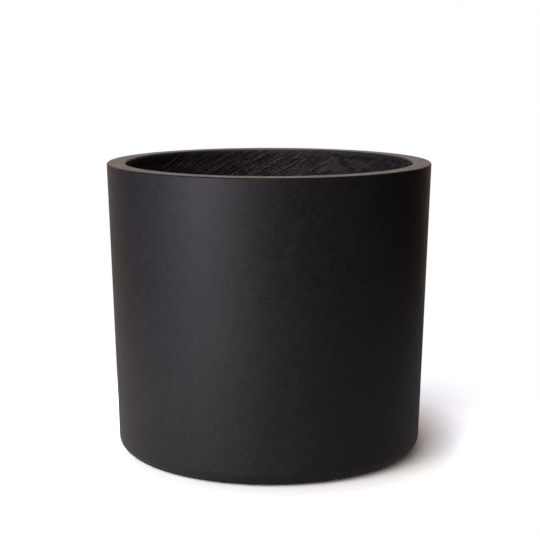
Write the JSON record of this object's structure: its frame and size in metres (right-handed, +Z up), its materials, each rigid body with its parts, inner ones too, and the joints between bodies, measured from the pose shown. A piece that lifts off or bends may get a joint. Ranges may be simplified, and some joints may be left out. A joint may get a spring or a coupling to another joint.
{
  "type": "floor planter",
  "caption": "Round tapered floor planter of thick cast concrete with a flat rim, a rounded foot, a lift-out drain plug and ground pads.",
  "frame": {"origin": "on the ground, under the middle of the pot", "axes": "+Z up along the pot's axis; -Y is the side that the picture is taken from, +X is its right"},
  "size_m": [0.5, 0.4998, 0.45],
  "materials": {
    "concrete": "matt, charcoal",
    "plug_rubber": "satin",
    "pad_rubber": "matt"
  },
  "bodies": {
    "pot": {"pot_shell": "concrete", "base_pad_1": "pad_rubber", "base_pad_2": "pad_rubber", "base_pad_3": "pad_rubber", "base_pad_4": "pad_rubber"},
    "plug": {"drain_plug": "plug_rubber"}
  },
  "joints": [
    {"name": "drain_plug_lift", "type": "slide", "parent": "pot", "child": "plug", "axis": [0, 0, 1], "range_m": [0, 0.45]}
  ]
}
